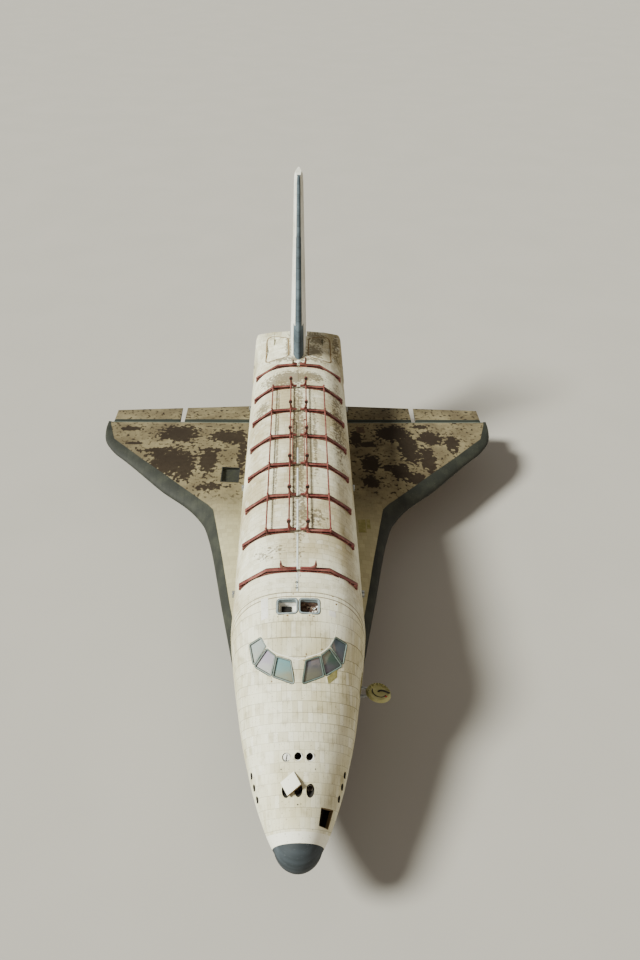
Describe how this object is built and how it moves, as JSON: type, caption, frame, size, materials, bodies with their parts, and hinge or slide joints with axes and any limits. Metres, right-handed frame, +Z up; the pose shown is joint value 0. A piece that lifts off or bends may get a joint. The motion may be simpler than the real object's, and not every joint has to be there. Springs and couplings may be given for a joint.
{
  "type": "space shuttle orbiter",
  "caption": "Delta-winged space shuttle orbiter on its wheels, with bay doors under red lifting frames, split rudder, elevons, open crew hatch and steering nose gear.",
  "frame": {"origin": "bottom centre of the bounding box, on the floor", "axes": "+X port, -Y forward along the nose, +Z up"},
  "size_m": [23.92, 36.37, 16.35],
  "materials": {
    "felt_tiles": "matt white felt and tiles",
    "black_tiles": "matt black tiles",
    "carbon_edges": "matt grey carbon",
    "red_steel": "satin red paint",
    "cabin_glass": "clear",
    "alloy": "satin",
    "tyres": "matt",
    "primer": "matt yellow-green primer"
  },
  "bodies": {
    "airframe": {"nose_cap": "carbon_edges", "forward_fuselage": "felt_tiles", "flight_deck": "alloy", "roof_light_rims": "alloy", "port_cover": "felt_tiles", "port_plug": "felt_tiles", "chute_housing": "felt_tiles", "mid_fuselage": "felt_tiles", "aft_fuselage": "felt_tiles", "wing_port": "felt_tiles", "wing_starboard": "felt_tiles", "fin": "felt_tiles", "fin_leading_edge": "carbon_edges", "nose_leg": "alloy", "forward_attach": "alloy", "window_inner_port": "cabin_glass", "window_inner_starboard": "cabin_glass", "window_middle_port": "cabin_glass", "window_middle_starboard": "cabin_glass", "window_outer_port": "cabin_glass", "window_outer_starboard": "cabin_glass", "thruster_pod_port": "felt_tiles", "thruster_pod_starboard": "felt_tiles", "engine_bell_port": "alloy", "engine_bell_starboard": "alloy", "leading_edge_port": "carbon_edges", "leading_edge_starboard": "carbon_edges", "main_leg_port": "alloy", "main_leg_starboard": "alloy", "main_gear_door_port": "black_tiles", "main_gear_door_starboard": "black_tiles", "nose_gear_door_port": "black_tiles", "nose_gear_door_starboard": "black_tiles", "aft_attach_port": "alloy", "aft_attach_starboard": "alloy"},
    "bay_door_port": {"bay_door_port": "felt_tiles", "door_frame_port": "red_steel", "front_beam_port": "red_steel", "rear_beam_port": "red_steel"},
    "elevon_inboard_port": {"elevon_inboard_port": "felt_tiles"},
    "elevon_outboard_port": {"elevon_outboard_port": "felt_tiles"},
    "main_wheels_port": {"main_wheels_port": "tyres"},
    "bay_door_starboard": {"bay_door_starboard": "felt_tiles", "door_frame_starboard": "red_steel", "front_beam_starboard": "red_steel", "rear_beam_starboard": "red_steel"},
    "elevon_inboard_starboard": {"elevon_inboard_starboard": "felt_tiles"},
    "elevon_outboard_starboard": {"elevon_outboard_starboard": "felt_tiles"},
    "main_wheels_starboard": {"main_wheels_starboard": "tyres"},
    "body_flap": {"body_flap": "black_tiles"},
    "rudder": {"rudder_spar": "alloy"},
    "rudder_half_port": {"rudder_half_port": "felt_tiles"},
    "rudder_half_starboard": {"rudder_half_starboard": "felt_tiles"},
    "crew_hatch": {"crew_hatch": "primer"},
    "nose_steering": {"nose_fork": "alloy"},
    "nose_wheels": {"nose_wheels": "tyres"}
  },
  "joints": [
    {"name": "bay_door_port_hinge", "type": "hinge", "parent": "airframe", "child": "bay_door_port", "pos_m": [2.8, 0.065, 5.88], "axis": [0, 1, 0], "range_deg": [0, 160]},
    {"name": "elevon_inboard_port_hinge", "type": "hinge", "parent": "airframe", "child": "elevon_inboard_port", "pos_m": [5.065, 10.945, 2.5411], "axis": [0.9999, 0, 0.0143], "range_deg": [-20, 35]},
    {"name": "elevon_outboard_port_hinge", "type": "hinge", "parent": "airframe", "child": "elevon_outboard_port", "pos_m": [9.56, 10.945, 2.60557], "axis": [0.9999, 0, 0.0143], "range_deg": [-20, 35]},
    {"name": "main_wheels_port_spin", "type": "hinge", "parent": "airframe", "child": "main_wheels_port", "pos_m": [3.5, 5.815, 0.62043], "axis": [1, 0, 0], "continuous": true},
    {"name": "bay_door_starboard_hinge", "type": "hinge", "parent": "airframe", "child": "bay_door_starboard", "pos_m": [-2.8, 0.065, 5.88], "axis": [0, -1, 0], "range_deg": [0, 160]},
    {"name": "elevon_inboard_starboard_hinge", "type": "hinge", "parent": "airframe", "child": "elevon_inboard_starboard", "pos_m": [-5.065, 10.945, 2.5411], "axis": [0.9999, 0, -0.0143], "range_deg": [-20, 35]},
    {"name": "elevon_outboard_starboard_hinge", "type": "hinge", "parent": "airframe", "child": "elevon_outboard_starboard", "pos_m": [-9.56, 10.945, 2.60557], "axis": [0.9999, 0, -0.0143], "range_deg": [-20, 35]},
    {"name": "main_wheels_starboard_spin", "type": "hinge", "parent": "airframe", "child": "main_wheels_starboard", "pos_m": [-3.5, 5.815, 0.62043], "axis": [1, 0, 0], "continuous": true},
    {"name": "body_flap_hinge", "type": "hinge", "parent": "airframe", "child": "body_flap", "pos_m": [0, 13.535, 2.33], "axis": [1, 0, 0], "range_deg": [-12, 23]},
    {"name": "rudder_yaw", "type": "hinge", "parent": "airframe", "child": "rudder", "pos_m": [0, 15.055, 12.3], "axis": [0, 0.5042, 0.8636], "range_deg": [-23, 23]},
    {"name": "speed_brake_port", "type": "hinge", "parent": "rudder", "child": "rudder_half_port", "pos_m": [0, 15.055, 12.3], "axis": [0, -0.5042, -0.8636], "range_deg": [0, 43.5]},
    {"name": "speed_brake_starboard", "type": "hinge", "parent": "rudder", "child": "rudder_half_starboard", "pos_m": [0, 15.055, 12.3], "axis": [0, 0.5042, 0.8636], "range_deg": [0, 43.5]},
    {"name": "crew_hatch_hinge", "type": "hinge", "parent": "airframe", "child": "crew_hatch", "pos_m": [2.69, -11.055, 3.68], "axis": [0, 1, 0], "range_deg": [-100, 0]},
    {"name": "nose_steer", "type": "hinge", "parent": "airframe", "child": "nose_steering", "pos_m": [0, -7.185, 1.4], "axis": [0, 0, 1], "range_deg": [-55, 55]},
    {"name": "nose_wheels_spin", "type": "hinge", "parent": "nose_steering", "child": "nose_wheels", "pos_m": [0, -7.185, 0.41362], "axis": [1, 0, 0], "continuous": true}
  ]
}
